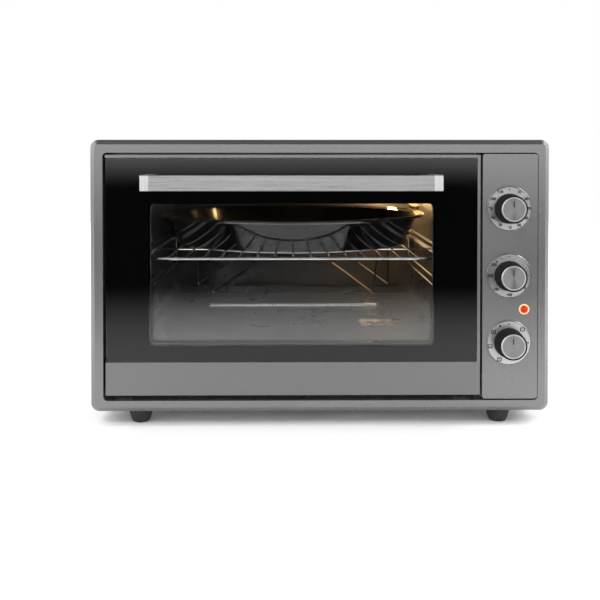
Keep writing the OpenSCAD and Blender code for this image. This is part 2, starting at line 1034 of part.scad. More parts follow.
module wire_rack() {
    corner_y = rack_y0 + 20;
    grid_step = 2 * (rack_bar - 17.5) / (rack_wires - 1);
    color("silver") {
        bent_wire([[door_x + rack_bar, rack_y0, rack_z],
                   [door_x - rack_bar, rack_y0, rack_z],
                   [door_x - rack_half, corner_y, rack_z],
                   [door_x - rack_half, rack_y1, rack_z],
                   [door_x + rack_half, rack_y1, rack_z],
                   [door_x + rack_half, corner_y, rack_z],
                   [door_x + rack_bar, rack_y0, rack_z]], rack_r);
        for (i = [0 : rack_wires - 1])
            let (x = door_x + (i - (rack_wires - 1) / 2) * grid_step)
                wire([x, rack_y0, grid_z], [x, rack_y1, grid_z], grid_r);
        for (part = [0.3, 0.7])
            let (y = rack_y0 + part * (rack_y1 - rack_y0), z = grid_z - 1.7 * grid_r)
                wire([door_x - rack_half, y, z], [door_x + rack_half, y, z], grid_r);
    }
}

// Two bent carrying wires on each side, hung under the rack
module rack_cradle() {
    r = 1.1;
    hang_z = rack_z - rack_r - 51;
    top_z0 = grid_z - grid_r;
    back_y = front_y + 400;
    outer_x = door_x - 132;
    middle_x = door_x - 110;
    low_x = door_x - 104;
    inner_x = door_x - 66;
    outer_y = front_y + 163;
    inner_y = front_y + 89;
    color("silver")
        both_sides() {
            bent_wire([[outer_x, outer_y, top_z0], [outer_x, outer_y, hang_z],
                       [middle_x, back_y, hang_z], [middle_x, back_y, top_z0]], r);
            bent_wire([[middle_x, inner_y, top_z0], [low_x, inner_y, hang_z],
                       [inner_x, back_y, hang_z], [inner_x, back_y, top_z0]], r);
        }
}

// Round enamelled pan with sloping walls and a rolled rim
module round_pan() {
    rim_r = 2.2;
    r1 = pan_d / 2 - rim_r;
    z1 = pan_h - rim_r;
    t = pan_t;
    color([0.07, 0.07, 0.08])
        translate([door_x, pan_y, pan_z])
            rotate_extrude($fn = 96) {
                polygon([[0, 0], [pan_base - 3, 0], [pan_base, 2], [r1, z1],
                         [r1 - t, z1], [pan_base - t, 3], [pan_base - 4, t], [0, t]]);
                translate([r1, z1])
                    circle(rim_r);
            }
}

outer_shell();
base_plate();
rear_panel();
front_bezel();
control_panel();
foot_front_left();
foot_front_right();
foot_rear_left();
foot_rear_right();
foot_screws();
panel_screws();
rear_spacers();
cable_gland();
front_flange();
cavity_liner();
cavity_back();
insulation_blanket();
rack_guide_left();
rack_guide_right();
upper_element();
lower_element();
element_bushes();
lamp_holder();
lamp_bulb();
lamp_lens();
control_bay_shield();
selector_switch();
thermostat();
timer();
terminal_block();
indicator_holder();
indicator_lens();
dial_plates();
door_gasket();
hinge_bracket_left();
hinge_bracket_right();
hinge_pins();
hinge_springs();
function_knob();
function_knob_cap();
function_shaft();
temperature_knob();
temperature_knob_cap();
temperature_shaft();
timer_knob();
timer_knob_cap();
timer_shaft();
door_frame();
door_glass_outer();
door_glass_inner();
window_spacer();
door_top_trim();
door_side_trim();
door_bottom_strip();
handle_bar();
handle_posts();
handle_screws();
wire_rack();
rack_cradle();
round_pan();
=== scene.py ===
# Looks of a countertop toaster oven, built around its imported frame. Metres, +Z up, the front faces -Y.
import math

import bmesh
import bpy
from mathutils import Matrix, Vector

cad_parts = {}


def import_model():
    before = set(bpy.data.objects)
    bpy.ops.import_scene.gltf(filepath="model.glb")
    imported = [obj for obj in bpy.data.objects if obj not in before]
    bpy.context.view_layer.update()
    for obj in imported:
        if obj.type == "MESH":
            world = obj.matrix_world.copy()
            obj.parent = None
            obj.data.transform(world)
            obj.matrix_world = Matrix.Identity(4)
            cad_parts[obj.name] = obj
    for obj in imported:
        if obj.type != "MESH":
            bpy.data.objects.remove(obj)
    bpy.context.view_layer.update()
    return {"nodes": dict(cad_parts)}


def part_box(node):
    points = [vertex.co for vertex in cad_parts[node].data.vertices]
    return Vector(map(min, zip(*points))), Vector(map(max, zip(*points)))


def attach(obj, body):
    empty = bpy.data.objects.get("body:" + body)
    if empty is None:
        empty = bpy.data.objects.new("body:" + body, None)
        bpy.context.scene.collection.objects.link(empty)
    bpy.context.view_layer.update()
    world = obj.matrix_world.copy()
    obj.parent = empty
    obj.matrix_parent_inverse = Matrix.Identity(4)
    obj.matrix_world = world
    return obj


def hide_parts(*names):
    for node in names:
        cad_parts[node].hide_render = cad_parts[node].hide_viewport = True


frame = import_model()
NODES = frame["nodes"]
MM = 0.001
# Height on the dome (-1 to 1) and its brightness there.
DOME = ((-0.036, 0.0), (0.022, 2.6), (0.3, 1.25), (0.8, 1.25), (0.9, 0.05))
# The floor is clear at the first Y and solid from the second one on.
FLOOR_END, FLOOR_FULL = -1.3, -0.45
# The camera's distance from the bezel, and its height above the bezel's lower edge.
CAMERA_GAP, CAMERA_RISE = 0.98, 0.3035
# Warm light straight from the oven lamp, off the walls, and on the floor.
LAMP_GOLD, SPILL_GOLD, PATCH_GOLD = (1.0, 0.62, 0.26), (1.0, 0.66, 0.36), (1.0, 0.62, 0.34)


# ---------- Materials ----------

class Paint:
    """A principled material being built: short calls that add nodes and link them."""

    def __init__(self, name, rough=0.5, metallic=0.0, **sockets):
        self.mat = bpy.data.materials.new(name)
        self.mat.use_nodes = True
        self.tree = self.mat.node_tree
        self.shader = self.tree.nodes["Principled BSDF"]
        self.place = self.tree.nodes.new("ShaderNodeTexCoord").outputs["Object"]
        self.shader.inputs["Roughness"].default_value = rough
        self.shader.inputs["Metallic"].default_value = metallic
        for socket, value in sockets.items():
            self.shader.inputs[socket.replace("_", " ")].default_value = value

    def add(self, kind, out=0, settings=None, **inputs):
        """Adds a node, sets its settings and its inputs, and returns one of its outputs."""
        node = self.tree.nodes.new("ShaderNode" + kind)
        for key, value in (settings or {}).items():
            setattr(node, key, value)
        for key, value in inputs.items():
            socket = node.inputs[int(key[1:])] if key[1:].isdigit() else node.inputs[key.replace("_", " ")]
            if isinstance(value, bpy.types.NodeSocket):
                self.tree.links.new(value, socket)
            else:
                socket.default_value = value
        return node.outputs[out]

    def stretch(self, x=1.0, y=1.0, z=1.0, at=(0, 0, 0)):
        """Object coordinates moved by at, then scaled along each axis."""
        moved = self.add("Mapping", Vector=self.place, Location=tuple(-v for v in at))
        return self.add("Mapping", Vector=moved, Scale=(x, y, z))

    def noise(self, scale, detail=3.0, rough=0.5, vector=None):
        return self.add("TexNoise", Vector=vector or self.place, Scale=scale, Detail=detail, Roughness=rough)

    def spread(self, value, low, high, from_low=0.3, from_high=0.7):
        """Maps a value's usual range onto low to high."""
        return self.add("MapRange", Value=value, From_Min=from_low, From_Max=from_high,
                        To_Min=low, To_Max=high)

    def math(self, operation, a, b=0.0):
        return self.add("Math", settings={"operation": operation}, _0=a, _1=b)

    def blend(self, factor, low, high):
        """A colour between low and high."""
        ramp = self.tree.nodes.new("ShaderNodeValToRGB")
        ramp.color_ramp.elements[0].position = 0.25
        ramp.color_ramp.elements[1].position = 0.75
        ramp.color_ramp.elements[0].color = (*low, 1)
        ramp.color_ramp.elements[1].color = (*high, 1)
        self.tree.links.new(factor, ramp.inputs["Fac"])
        return ramp.outputs["Color"]

    def link(self, socket, value):
        self.tree.links.new(value, self.shader.inputs[socket])
        return self

    def bump(self, height, strength, distance):
        self.link("Normal", self.add("Bump", Height=height, Strength=strength, Distance=distance))
        return self

    def radius(self, x, z):
        """Distance from an axis along Y through x and z."""
        off = self.add("SeparateXYZ", Vector=self.stretch(at=(x, 0, z)))
        parts = off.node.outputs
        square_x = self.math("MULTIPLY", parts["X"], parts["X"])
        square_z = self.math("MULTIPLY", parts["Z"], parts["Z"])
        return self.math("SQRT", self.math("ADD", square_x, square_z))


def grey(value):
    return (value, value, value)


def painted_steel(name, low, high, rough, metallic, flake=2600, peel=420):
    """Satin metallic paint: fine flake, a faint orange peel and slightly uneven gloss."""
    p = Paint(name, rough, metallic)
    cloud = p.noise(9, 4)
    p.link("Base Color", p.blend(p.noise(flake, 2, 0.7), low, high))
    p.link("Roughness", p.spread(cloud, rough - 0.015, rough + 0.02))
    return p.bump(p.noise(peel, 2), 0.04, 0.0003).mat


def brushed_metal(name, low, high, rough, along="x", lines=900):
    """Metal brushed along one axis: long fine streaks in colour, gloss and height."""
    p = Paint(name, rough, 1.0)
    scale = {"x": (14, lines, lines), "y": (lines, 14, lines), "z": (lines, lines, 14)}[along]
    streaks = p.noise(1.0, 5, 0.65, p.stretch(*scale))
    p.link("Base Color", p.blend(streaks, low, high))
    p.link("Roughness", p.spread(streaks, rough - 0.07, rough + 0.1))
    return p.bump(streaks, 0.25, 0.00015).mat


def turned_metal(name, low, high, rough, x, z, metallic=1.0, rings=5200, turn=0.0, groove=0.88):
    """Metal brushed in rings around an axis along Y, or in rays with a quarter turn."""
    p = Paint(name, rough, metallic, Anisotropic=groove, Anisotropic_Rotation=turn)
    p.link("Tangent", p.add("Tangent", settings={"direction_type": "RADIAL", "axis": "Y"}))
    ring = p.add("TexNoise", settings={"noise_dimensions": "1D"}, W=p.radius(x, z), Scale=rings, Detail=3.0)
    p.link("Base Color", p.blend(ring, low, high))
    p.link("Roughness", p.spread(ring, rough - 0.05, rough + 0.08))
    return p.bump(ring, 0.12, 0.0001).mat


def moulded_plastic(name, low, high, rough, grain=1500, **sockets):
    p = Paint(name, rough, **sockets)
    fine = p.noise(grain, 3, 0.6)
    p.link("Base Color", p.blend(p.noise(60, 4), low, high))
    p.link("Roughness", p.spread(fine, rough - 0.06, rough + 0.08))
    return p.bump(fine, 0.12, 0.0002).mat


def enamel(name, low, high, rough, speck=900, wave=55, coat=0.35, coat_rough=0.12):
    """Vitreous enamel: fine specks, a slow waviness and uneven gloss."""
    p = Paint(name, rough, Coat_Weight=coat, Coat_Roughness=coat_rough)
    specks = p.noise(speck, 2, 0.8)
    cloud = p.noise(14, 4)
    mixed = p.math("ADD", p.math("MULTIPLY", specks, 0.5), p.math("MULTIPLY", cloud, 0.5))
    p.link("Base Color", p.blend(mixed, low, high))
    p.link("Roughness", p.spread(cloud, rough - 0.05, rough + 0.07))
    return p.bump(p.noise(wave, 2), 0.06, 0.0003).mat


def chrome_wire(name, low=(0.34, 0.33, 0.32), high=(0.58, 0.57, 0.56), rough=0.12):
    p = Paint(name, rough, 1.0)
    tint = p.noise(38, 4)
    p.link("Base Color", p.blend(tint, low, high))
    p.link("Roughness", p.spread(tint, rough, rough + 0.12))
    return p.bump(p.noise(700, 2), 0.08, 0.0002).mat


def zinc_steel(name):
    """Zinc-plated sheet with its large pale crystals."""
    p = Paint(name, 0.38, 1.0)
    crystals = p.add("TexVoronoi", 1, Vector=p.place, Scale=110.0)
    level = p.add("RGBToBW", Color=crystals)
    p.link("Base Color", p.blend(level, grey(0.42), grey(0.62)))
    p.link("Roughness", p.spread(level, 0.3, 0.46, 0.0, 1.0))
    return p.bump(p.noise(300, 3), 0.1, 0.0002).mat


def black_rubber(name):
    p = Paint(name, 0.62)
    grain = p.noise(1800, 3, 0.7)
    p.link("Base Color", p.blend(p.noise(90, 4), grey(0.006), grey(0.016)))
    p.link("Roughness", p.spread(grain, 0.52, 0.72))
    return p.bump(grain, 0.25, 0.0003).mat


def clear_glass(name, tint, rough=0.0):
    """Tempered glass with a barely visible waviness."""
    p = Paint(name, rough, Transmission_Weight=1.0, IOR=1.5)
    p.link("Base Color", p.blend(p.noise(3, 2), tint, tuple(min(1, c + 0.01) for c in tint)))
    return p.bump(p.noise(3, 1), 0.004, 0.00005).mat


def black_print(name):
    """Black ink seen through the pane that carries it, so it has the pane's gloss."""
    p = Paint(name, 0.03)
    p.link("Base Color", p.blend(p.noise(500, 3), grey(0.0012), grey(0.002)))
    p.link("Roughness", p.spread(p.noise(40, 3), 0.025, 0.04))
    return p.bump(p.noise(3, 1), 0.01, 0.0001).mat


def glowing_plastic(name, low, high, glow, strength, rough=0.12, coat=0.4, gloss=0.5):
    p = Paint(name, rough, Emission_Strength=strength, Emission_Color=(*glow, 1), Coat_Weight=coat,
              Specular_IOR_Level=gloss)
    grain = p.noise(900, 3)
    p.link("Base Color", p.blend(grain, low, high))
    p.link("Roughness", p.spread(grain, rough - 0.04, rough + 0.06))
    return p.bump(p.noise(400, 1), 0.15, 0.0003).mat


def heated_tube(name):
    """Heater sheath with bluish and brown heat tints."""
    p = Paint(name, 0.42, 0.8)
    tint = p.noise(16, 5)
    p.link("Base Color", p.blend(tint, (0.035, 0.03, 0.032), (0.11, 0.08, 0.06)))
    p.link("Roughness", p.spread(tint, 0.35, 0.55))
    return p.bump(p.noise(1200, 2), 0.12, 0.0002).mat


def fibre(name, low, high, weave=500):
    p = Paint(name, 0.85)
    threads = p.add("TexWave", Vector=p.place, Scale=float(weave), Distortion=4.0, Detail=2.0)
    p.link("Base Color", p.blend(p.noise(120, 5), low, high))
    p.link("Roughness", p.spread(p.noise(240, 3), 0.78, 0.92))
    return p.bump(threads.node.outputs["Fac"], 0.5, 0.0006).mat


def white_ceramic(name, low=grey(0.62), high=grey(0.72)):
    p = Paint(name, 0.45)
    p.link("Base Color", p.blend(p.noise(70, 4), low, high))
    p.link("Roughness", p.spread(p.noise(200, 3), 0.38, 0.55))
    return p.bump(p.noise(900, 2), 0.15, 0.0002).mat


def studio_floor(name):
    """Plain pale floor that fades out in front of the oven, so its edge never shows."""
    p = Paint(name, 0.9)
    p.link("Base Color", p.blend(p.noise(1.5, 3), grey(0.88), grey(0.9)))
    p.link("Roughness", p.spread(p.noise(30, 3), 0.85, 0.95))
    depth = p.add("SeparateXYZ", 1, Vector=p.place)
    fade = p.add("MapRange", settings={"interpolation_type": "SMOOTHSTEP"}, Value=depth,
                 From_Min=FLOOR_END, From_Max=FLOOR_FULL, To_Min=0.0, To_Max=1.0)
    p.link("Alpha", fade)
    return p.bump(p.noise(40, 3), 0.02, 0.0005).mat


# ---------- Shapes ----------

class Box:
    """Lowest, highest and middle corner of a CAD node."""

    def __init__(self, node):
        self.lo, self.hi = (Vector(corner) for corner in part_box(node))
        self.mid = (self.lo + self.hi) / 2
        self.size = self.hi - self.lo


def add_object(name, data, material, body, replaced=(), smooth=None):
    """Puts a mesh or curve in the scene, gives it its material and body, and hides what it replaces."""
    obj = bpy.data.objects.new(name, data)
    bpy.context.scene.collection.objects.link(obj)
    data.materials.append(material)
    if smooth is not None:
        for face in data.polygons:
            face.use_smooth = True
        data.set_sharp_from_angle(angle=math.radians(smooth))
    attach(obj, body)
    if replaced:
        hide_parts(*replaced)
    return obj


def mesh_of(name, points, faces):
    mesh = bpy.data.meshes.new(name)
    mesh.from_pydata(points, [], faces)
    fixer = bmesh.new()
    fixer.from_mesh(mesh)
    bmesh.ops.recalc_face_normals(fixer, faces=fixer.faces)
    fixer.to_mesh(mesh)
    fixer.free()
    return mesh


def lathe(name, profile, at, axis="z", segments=96):
    """Mesh turned from (radius, distance) points about an axis that starts at a point, with closed ends."""
    points, faces = [], []
    for radius, along in profile:
        for k in range(segments):
            turn = 2 * math.pi * k / segments
            a, b = radius * math.cos(turn), radius * math.sin(turn)
            offset = {"z": (a, b, along), "-y": (a, -along, b), "-x": (-along, a, b)}[axis]
            points.append(Vector(at) + Vector(offset))
    for i in range(len(profile) - 1):
        for k in range(segments):
            near, far = i * segments, (i + 1) * segments
            step = (k + 1) % segments
            faces.append((near + k, near + step, far + step, far + k))
    faces.append(tuple(range(segments)))
    faces.append(tuple(range(len(points) - segments, len(points))))
    return mesh_of(name, points, faces)


def rounded_outline(x0, x1, z0, z1, r, steps=10):
    """Corner arcs of a rounded rectangle, counter-clockwise from the lower right."""
    outline = []
    centres = ((x1 - r, z0 + r, -90), (x1 - r, z1 - r, 0), (x0 + r, z1 - r, 90), (x0 + r, z0 + r, 180))
    for cx, cz, start in centres:
        for k in range(steps + 1):
            turn = math.radians(start + 90 * k / steps)
            outline.append((cx + r * math.cos(turn), cz + r * math.sin(turn)))
    return outline


def plate(name, outline, y0, y1):
    """Mesh of a flat outline in X and Z made solid from y0 to y1."""
    n = len(outline)
    points = [(x, y, z) for y in (y0, y1) for x, z in outline]
    sides = [(k, (k + 1) % n, n + (k + 1) % n, n + k) for k in range(n)]
    return mesh_of(name, points, [tuple(range(n)), tuple(range(n, 2 * n))] + sides)


def frame_plate(name, outer, inner, y0, y1):
    """Mesh of a flat ring between two outlines with the same number of points."""
    n = len(outer)
    points = [(x, y, z) for y in (y0, y1) for line in (outer, inner) for x, z in line]
    faces = []
    for k in range(n):
        j = (k + 1) % n
        faces.append((k, j, n + j, n + k))
        faces.append((2 * n + k, 2 * n + j, 3 * n + j, 3 * n + k))
        faces.append((k, j, 2 * n + j, 2 * n + k))
        faces.append((n + k, n + j, 3 * n + j, 3 * n + k))
    return mesh_of(name, points, faces)


def soften(obj, width, segments=3, angle=30):
    """Rounds every sharp edge a little, as on pressed or moulded parts."""
    bevel = obj.modifiers.new("soft_edges", "BEVEL")
    bevel.width = width
    bevel.segments = segments
    bevel.limit_method = "ANGLE"
    bevel.angle_limit = math.radians(angle)
    bevel.harden_normals = True
    return obj


def bend(points, radius, closed=False, steps=6):
    """Replaces each corner of a wire's path by a smooth bend."""
    path, n = [], len(points)
    for i, here in enumerate(points):
        here = Vector(here)
        if not closed and i in (0, n - 1):
            path.append(here)
            continue
        before, after = Vector(points[i - 1]), Vector(points[(i + 1) % n])
        into = (before - here).normalized()
        out = (after - here).normalized()
        reach = min(radius, (before - here).length * 0.45, (after - here).length * 0.45)
        start, end = here + into * reach, here + out * reach
        for k in range(steps + 1):
            t = k / steps
            path.append(start * (1 - t) ** 2 + here * 2 * t * (1 - t) + end * t ** 2)
    return path


def wires(name, paths, material, body, radius, replaced=()):
    """Round wires: each path is (points, closed, radius factor)."""
    curve = bpy.data.curves.new(name, "CURVE")
    curve.dimensions = "3D"
    curve.bevel_depth = radius
    curve.bevel_resolution = 5
    curve.use_fill_caps = True
    for points, closed, factor in paths:
        line = curve.splines.new("POLY")
        line.points.add(len(points) - 1)
        line.use_cyclic_u = closed
        line.use_smooth = True
        for target, point in zip(line.points, points):
            target.co = (*point, 1)
            target.radius = factor
    return add_object(name, curve, material, body, replaced)


def keep(material, *nodes, soft=0.0, segments=3):
    """Gives carried-over CAD nodes their finish, and softens their edges."""
    for node in nodes:
        obj = NODES[node]
        obj.data.materials.clear()
        obj.data.materials.append(material)
        if soft:
            soften(obj, soft, segments)


# ---------- Finishes ----------

PAINT = painted_steel("body_paint", grey(0.2), grey(0.23), 0.27, 0.8)
CASE_PAINT = painted_steel("case_paint", grey(0.19), grey(0.225), 0.4, 0.55)
STRIP_PAINT = painted_steel("strip_paint", grey(0.17), grey(0.2), 0.25, 0.85)
HANDLE_STEEL = brushed_metal("handle_steel", grey(0.31), grey(0.48), 0.3)
POST_STEEL = brushed_metal("post_steel", grey(0.6), grey(0.75), 0.3, "z", 700)
GLASS = clear_glass("outer_glass", (0.97, 0.975, 0.975))
INNER_GLASS = clear_glass("inner_glass", (0.97, 0.975, 0.97))
PRINT = black_print("border_print")
CAVITY = enamel("cavity_enamel", (0.036, 0.034, 0.033), (0.06, 0.057, 0.054), 0.3)
PAN_ENAMEL = enamel("pan_enamel", grey(0.004), grey(0.009), 0.1, speck=1400, wave=30, coat=1.0,
                    coat_rough=0.03)
CHROME = chrome_wire("chrome_wire")
# Painted shade: the cradle wires are made very dark for the shade under the pan.
DARK_WIRE = chrome_wire("pan_shade_dark_wire", (0.02, 0.018, 0.017), (0.045, 0.04, 0.036), 0.3)
# Painted light: gold colour standing in for the oven lamp's warm light on one cradle run.
LAMPLIT_GOLD_WIRE = chrome_wire("lamplit_gold_painted_wire", (0.8, 0.5, 0.2), (1.0, 0.74, 0.38), 0.3)
ZINC = zinc_steel("zinc_steel")
RUBBER = black_rubber("black_rubber")
BLACK_PLASTIC = moulded_plastic("black_plastic", grey(0.010), grey(0.018), 0.45)
KNOB_PLASTIC = moulded_plastic("knob_plastic", grey(0.006), grey(0.01), 0.66, Specular_IOR_Level=0.15)
DARK_INK = moulded_plastic("dark_ink", grey(0.012), grey(0.02), 0.5)
PHENOLIC = moulded_plastic("phenolic", (0.18, 0.15, 0.10), (0.24, 0.2, 0.14), 0.5)
CERAMIC = white_ceramic("white_ceramic")
HEATER = heated_tube("heater_tube")
WOOL = fibre("glass_wool", (0.5, 0.42, 0.24), (0.65, 0.56, 0.36), 160)
SEAL = moulded_plastic("window_seal", grey(0.05), grey(0.08), 0.3)
ROPE = fibre("gasket_rope", grey(0.012), grey(0.03), 900)
LAMP_RED = glowing_plastic("lamp_red", (0.4, 0.016, 0.002), (0.55, 0.035, 0.004), (1.0, 0.1, 0.01),
                           0.1, rough=0.2, coat=0.0, gloss=0.15)
# The ring is no lamp: its faint orange glow is painted light from the neon lamp.
LAMP_RING = glowing_plastic("lamp_ring", (0.95, 0.55, 0.26), (1.0, 0.64, 0.35), (1.0, 0.56, 0.26),
                            0.22, rough=0.3)
BULB_GLASS = glowing_plastic("bulb_glass", (1.0, 0.8, 0.5), (1.0, 0.85, 0.6), (1.0, 0.62, 0.22),
                             1.5, rough=0.2)
LENS_GLASS = clear_glass("lens_glass", (1.0, 0.93, 0.78), 0.08)


# ---------- Casing ----------

def casing():
    keep(CASE_PAINT, "outer_shell", "rear_panel", soft=0.3 * MM, segments=2)
    keep(PAINT, "front_bezel", soft=0.7 * MM)
    keep(PAINT, "control_panel", soft=0.8 * MM)
    keep(ZINC, "base_plate", "panel_screws", "foot_screws", "control_bay_shield", "hinge_bracket_left",
         "hinge_bracket_right", "hinge_pins", "hinge_springs", "thermostat")
    keep(BLACK_PLASTIC, "rear_spacers", "cable_gland", soft=0.4 * MM)
    keep(PHENOLIC, "selector_switch", "timer")
    keep(CERAMIC, "terminal_block", "element_bushes", "lamp_holder")
    keep(WOOL, "insulation_blanket")
    keep(ROPE, "door_gasket", soft=0.6 * MM)


def feet():
    """Rubber feet: a flared cup with a rounded lower edge and a shallow flute above it."""
    # Shares of the foot's radius and of its height.
    profile = [(0.5, 0), (0.6, 0.02), (0.66, 0.06), (0.69, 0.13), (0.75, 0.24), (0.96, 0.86),
               (0.99, 0.9), (1.0, 0.95), (1.0, 1.0), (0.28, 1.0)]
    for node in ("foot_front_left", "foot_front_right", "foot_rear_left", "foot_rear_right"):
        box = Box(node)
        shape = [(r * box.size.x / 2, z * box.size.z) for r, z in profile]
        mesh = lathe(node + "_rubber", shape, (box.mid.x, box.mid.y, box.lo.z))
        add_object(node + "_rubber", mesh, RUBBER, "chassis", [node], 40)


# ---------- Cavity ----------

def cavity():
    keep(CAVITY, "cavity_liner", "cavity_back", "front_flange")
    keep(HEATER, "upper_element", "lower_element")
    lens, bulb = Box("lamp_lens"), Box("lamp_bulb")
    r, depth = lens.size.y / 2, lens.size.x
    dome_r, flange, dome_foot, pole = r * 0.77, 2 * MM, 7 * MM, 0.5 * MM
    profile = [(r, 0), (r, flange - 0.4 * MM), (r - 0.6 * MM, flange), (dome_r, flange), (dome_r, dome_foot)]
    profile += [(dome_r * math.cos(a), dome_foot + (depth - dome_foot) * math.sin(a))
                for a in (math.radians(15 * k) for k in range(1, 6))]
    profile.append((pole, depth))
    mesh = lathe("lamp_lens_glass", profile, (lens.hi.x, lens.mid.y, lens.mid.z), "-x", 64)
    add_object("lamp_lens_glass", mesh, LENS_GLASS, "chassis", ["lamp_lens"], 30)
    end, ball = bulb.size.x, bulb.size.y / 2
    neck, neck_end, ball_start, pole = 7 * MM, 12 * MM, 18 * MM, 0.4 * MM
    profile = [(neck, 0), (neck, neck_end), (ball, ball_start)]
    profile += [(ball * math.cos(a), end - ball + ball * math.sin(a))
                for a in (math.radians(15 * k) for k in range(6))]
    profile.append((pole, end))
    mesh = lathe("lamp_bulb_glass", profile, (bulb.hi.x, bulb.mid.y, bulb.mid.z), "-x", 48)
    add_object("lamp_bulb_glass", mesh, BULB_GLASS, "chassis", ["lamp_bulb"], 60)


def back_emboss():
    """Shallow raised panel pressed in the back wall."""
    liner, back = Box("cavity_liner"), Box("cavity_back")
    inset, corner, proud, sunk, edge = 24 * MM, 12 * MM, 1.4 * MM, 0.2 * MM, 1.2 * MM
    outline = rounded_outline(liner.lo.x + inset, liner.hi.x - inset,
                              liner.lo.z + 0.7 * inset, liner.hi.z - inset, corner)
    mesh = plate("back_emboss", outline, back.lo.y - proud, back.lo.y + sunk)
    soften(add_object("back_emboss", mesh, CAVITY, "chassis"), edge)


def floor_bead():
    """Bright steel strip laid along the stiffening bead of the cavity floor: a painted highlight on the
    enamel bead.
    """
    liner = Box("cavity_liner")
    from_mouth, lift, half, bead_r = 267 * MM, 4.2 * MM, 129 * MM, 3.3 * MM
    y, z = liner.lo.y + from_mouth, liner.lo.z + lift
    strip = [(liner.mid.x - half, y, z), (liner.mid.x + half, y, z)]
    wires("floor_bead_highlight_strip", [(strip, False, 1)], POST_STEEL, "chassis", bead_r)


def rack_guides():
    """Chromed wire ladders: two pairs of rails with bent-in ends, and two uprights."""
    wire_r, bend_r = 1.75 * MM, 5 * MM
    play, channel, tier, inset = 0.2 * MM, 8.2 * MM, 45 * MM, 14 * MM
    for node, side in (("rack_guide_left", -1), ("rack_guide_right", 1)):
        box = Box(node)
        wall = box.lo.x if side < 0 else box.hi.x
        rail = wall - side * (box.size.x - wire_r)
        upright = rail + side * 1.8 * wire_r
        y0, y1 = box.lo.y + wire_r, box.hi.y - wire_r
        top = Box("wire_rack").lo.z
        low_z, high_z = top - play - wire_r, top + channel + wire_r
        paths = []
        for z in (low_z, high_z, low_z - tier, high_z - tier):
            corners = [(wall, y0, z), (rail, y0, z), (rail, y1, z), (wall, y1, z)]
            paths.append((bend(corners, bend_r), False, 1))
        for y in (y0 + inset, y1 - inset):
            paths.append(([(upright, y, box.lo.z), (upright, y, box.hi.z)], False, 1))
        wires(node + "_wires", paths, CHROME, "chassis", wire_r, [node])


def rack():
    """Wire rack: a bent frame bar, fifteen long wires welded on it and two cross bars below."""
    box = Box("wire_rack")
    frame_r, grid_r = 1.7 * MM, 1.3 * MM
    x0, x1 = box.lo.x + frame_r, box.hi.x - frame_r
    y0, y1 = box.lo.y + frame_r, box.hi.y - frame_r
    z = box.lo.z + frame_r
    grid_z = box.hi.z - grid_r
    shoulder, corner, bend_r = 17.5 * MM, 20 * MM, 6 * MM
    loop = [(x0 + shoulder, y0, z), (x1 - shoulder, y0, z), (x1, y0 + corner, z),
            (x1, y1, z), (x0, y1, z), (x0, y0 + corner, z)]
    paths = [(bend(loop, bend_r, closed=True), True, 1)]
    count = 15
    first, step = x0 + 2 * shoulder, (x1 - x0 - 4 * shoulder) / (count - 1)
    thin = grid_r / frame_r
    for k in range(count):
        x = first + k * step
        paths.append(([(x, y0, grid_z), (x, y1, grid_z)], False, thin))
    for part in (0.3, 0.7):
        y = y0 + part * (y1 - y0)
        low = grid_z - 1.7 * grid_r
        paths.append(([(x0, y, low), (x1, y, low)], False, thin))
    wires("wire_rack_wires", paths, CHROME, "rack", frame_r, ["wire_rack"])


def cradle():
    """Four bent carrying wires hung from the rack's long wires, painted very dark as the shade under the pan.
    One run is painted gold as the oven lamp's warm light on it.
    """
    box = Box("rack_cradle")
    mid = box.mid.x
    r, bend_r = 1.1 * MM, 8 * MM
    # Distances from the middle: the outer wires at their front and back, the inner ones along their run.
    wide, narrow, run_front, run_back = 132 * MM, 110 * MM, 104 * MM, 66 * MM
    setback = 74 * MM
    top, low = box.hi.z, box.lo.z + r
    back, front = box.hi.y - r, box.lo.y + r
    paths = []
    for side in (-1, 1):
        outer = [(mid + side * wide, front + setback, top), (mid + side * wide, front + setback, low),
                 (mid + side * narrow, back, low), (mid + side * narrow, back, top)]
        paths.append((bend(outer, bend_r), False, 1))
    left, right = ([(mid + side * narrow, front, top), (mid + side * run_front, front, low),
                    (mid + side * run_back, back, low), (mid + side * run_back, back, top)]
                   for side in (-1, 1))
    paths += [(bend(left, bend_r), False, 1), (right[:2], False, 1), (right[2:], False, 1)]
    # The very dark cradle wires are painted shade under the pan.
    wires("rack_cradle_wires", paths, DARK_WIRE, "rack", r, ["rack_cradle"])
    # This run's gold colour is painted light from the oven lamp.
    wires("rack_cradle_lamplit_run", [(right[1:3], False, 1)], LAMPLIT_GOLD_WIRE, "rack", r)


def pan():
    """Pressed round pan: rounded foot, sloping wall, flat lip and rolled rim, all of one thickness."""
    box = Box("round_pan")
    rim, height = box.size.x / 2, box.size.z
    base, foot, sheet, bead, pole = rim - 24 * MM, 3 * MM, 1.2 * MM, 2.2 * MM, 0.6 * MM
    lip_in, lip_z = rim - 11 * MM, height - 2 * bead
    arc = [math.radians(-90 + 15 * k) for k in range(6)]
    outer = [(base - foot + foot * math.cos(a), foot + foot * math.sin(a)) for a in arc]
    outer += [(lip_in, lip_z), (lip_in + 3 * MM, lip_z + 1.6 * MM), (rim - bead, lip_z + 2 * MM)]
    roll = [math.radians(-60 + 24 * k) for k in range(9)]
    curl = [(rim - bead + bead * math.cos(a), height - bead + bead * math.sin(a)) for a in roll]
    inner = [(lip_in + 3 * MM, lip_z + 3.2 * MM), (lip_in - 1.5 * MM, lip_z + 1.5 * MM)]
    inner += [(base - foot + (foot - sheet) * math.cos(a), foot + (foot - sheet) * math.sin(a))
              for a in reversed(arc)]
    profile = [(pole, 0)] + outer + curl + inner + [(pole, sheet)]
    mesh = lathe("round_pan_enamel", profile, (box.mid.x, box.mid.y, box.lo.z), "z", 160)
    add_object("round_pan_enamel", mesh, PAN_ENAMEL, "rack", ["round_pan"], 35)


# ---------- Door ----------

